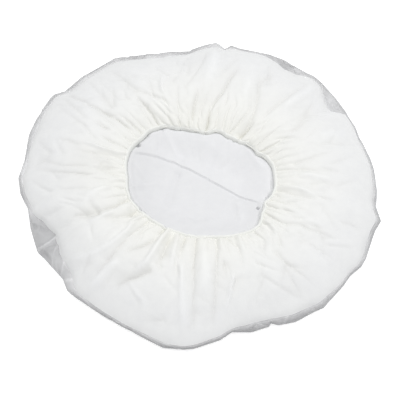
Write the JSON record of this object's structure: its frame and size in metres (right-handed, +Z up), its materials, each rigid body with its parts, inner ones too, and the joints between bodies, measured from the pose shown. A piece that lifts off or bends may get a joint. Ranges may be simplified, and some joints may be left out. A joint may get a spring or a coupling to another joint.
{
  "type": "rinse-free shampoo cap",
  "caption": "Bouffant head cap lying crown down and open side up: a translucent film bag with a white nonwoven liner, gathered into an elastic hem round its opening.",
  "frame": {"origin": "centre of the cap's outline seen from above, on the surface that the crown rests on", "axes": "+Z up out of the opening, +Y towards the far side of the cap as the picture shows it, +X to the right"},
  "size_m": [0.302, 0.3108, 0.0287],
  "materials": {
    "film": "thin translucent polyethylene film, satin, crumpled along the rim",
    "nonwoven": "soft white nonwoven, matte",
    "hem": "folded and gathered edge of the film and nonwoven, matte",
    "elastic": "thin white elastic cord"
  },
  "bodies": {
    "root": {"outer_film": "film", "nonwoven_liner": "nonwoven", "hem_casing": "hem", "elastic_cord": "elastic"}
  },
  "joints": []
}
